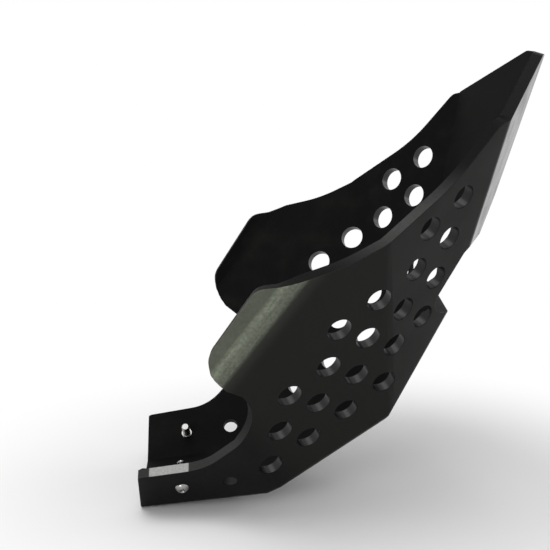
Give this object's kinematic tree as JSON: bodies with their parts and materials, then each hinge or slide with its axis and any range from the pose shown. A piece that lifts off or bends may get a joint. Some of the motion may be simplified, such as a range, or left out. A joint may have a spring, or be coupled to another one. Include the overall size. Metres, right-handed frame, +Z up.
{
  "type": "motorcycle skid plate",
  "caption": "Folded thick plastic skid plate that wraps round the lower front of a motorcycle engine, with a perforated side panel on each side, a front window and rear fixing flanges.",
  "frame": {"origin": "level with the belly's rear edge, which is the plate's lowest line, on the plane of symmetry, at half the plate's length", "axes": "+X forward along the motorcycle, +Y to the rider's left, +Z up along the front; the plate is the same on both sides of Y = 0 and its belly rises 6.5 degrees towards the front"},
  "size_m": [0.2981, 0.29, 0.3344],
  "materials": {
    "plate": "satin black polyethylene with a fine moulded grain",
    "screws": "plain stainless steel"
  },
  "bodies": {
    "root": {"skid_plate": "plate", "fixing_screws": "screws"}
  },
  "joints": []
}
